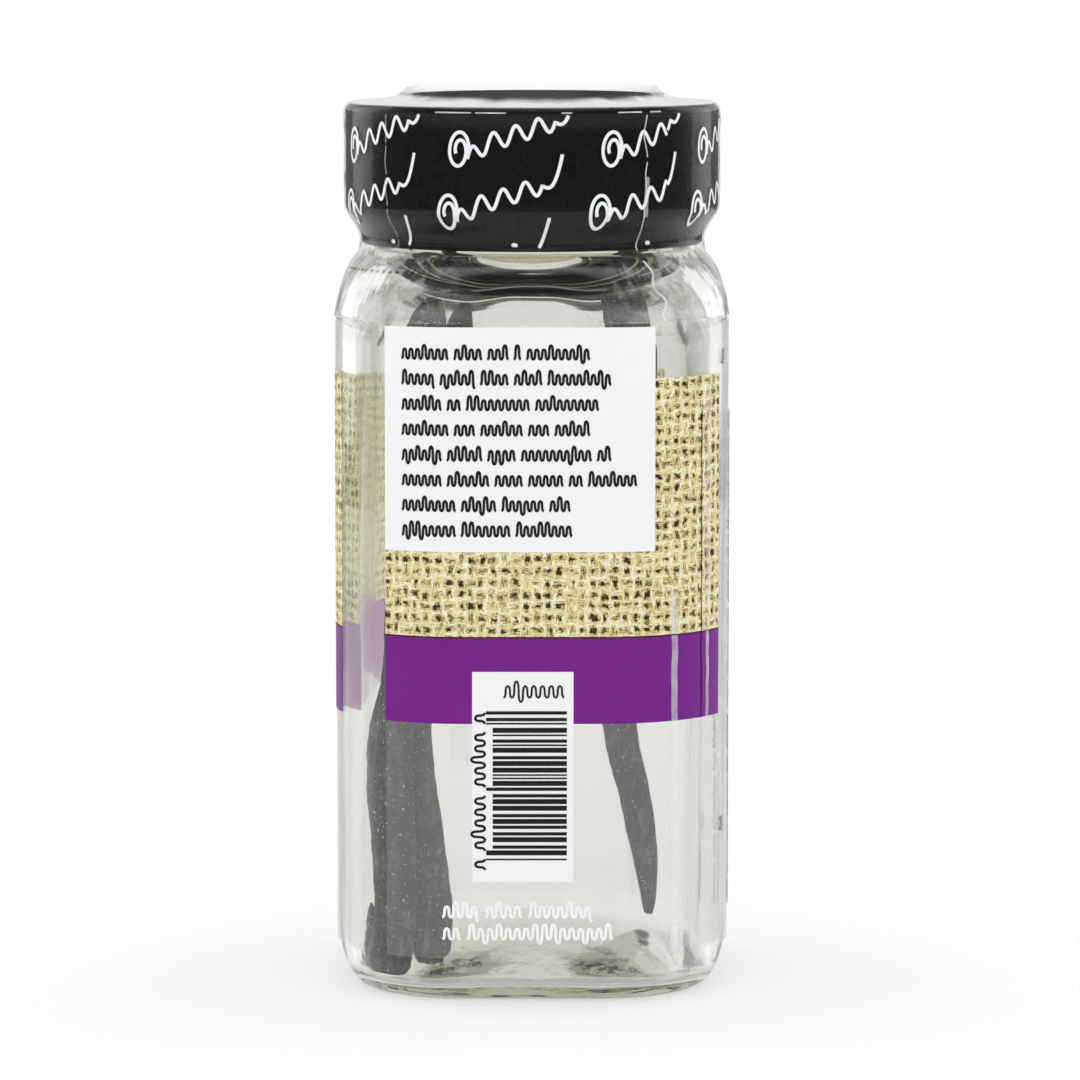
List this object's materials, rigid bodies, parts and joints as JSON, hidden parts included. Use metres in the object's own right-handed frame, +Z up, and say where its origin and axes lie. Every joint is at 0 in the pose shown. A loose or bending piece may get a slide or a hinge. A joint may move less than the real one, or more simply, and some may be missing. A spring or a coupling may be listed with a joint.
{
  "type": "spice jar of vanilla pods",
  "caption": "Shut square glass spice jar with a black screw cap, a clear shrink band, a printed wrap label and whole dried vanilla pods inside.",
  "frame": {"origin": "middle of the base, on the surface the jar stands on", "axes": "+Z up through the cap; -Y is the side with the text panel and the barcode panel; +X is to the right of that side"},
  "size_m": [0.0467, 0.0468, 0.1063],
  "materials": {
    "jar_glass": "clear, faintly green",
    "cap_black": "gloss",
    "clear_film": "clear plastic film",
    "label_white": "satin print",
    "label_weave": "satin print of a burlap weave",
    "label_purple": "satin print",
    "pod_skin": "dry, wrinkled"
  },
  "bodies": {
    "root": {"glass_jar": "jar_glass", "cap": "cap_black", "shrink_band": "clear_film", "label_film": "clear_film", "label_text_panel": "label_white", "label_barcode_panel": "label_white", "label_weave_front": "label_weave", "label_band_front": "label_purple", "label_weave_back": "label_weave", "label_band_back": "label_purple", "pod_left": "pod_skin", "pod_middle": "pod_skin", "pod_right": "pod_skin", "pod_tip": "pod_skin"}
  },
  "joints": []
}
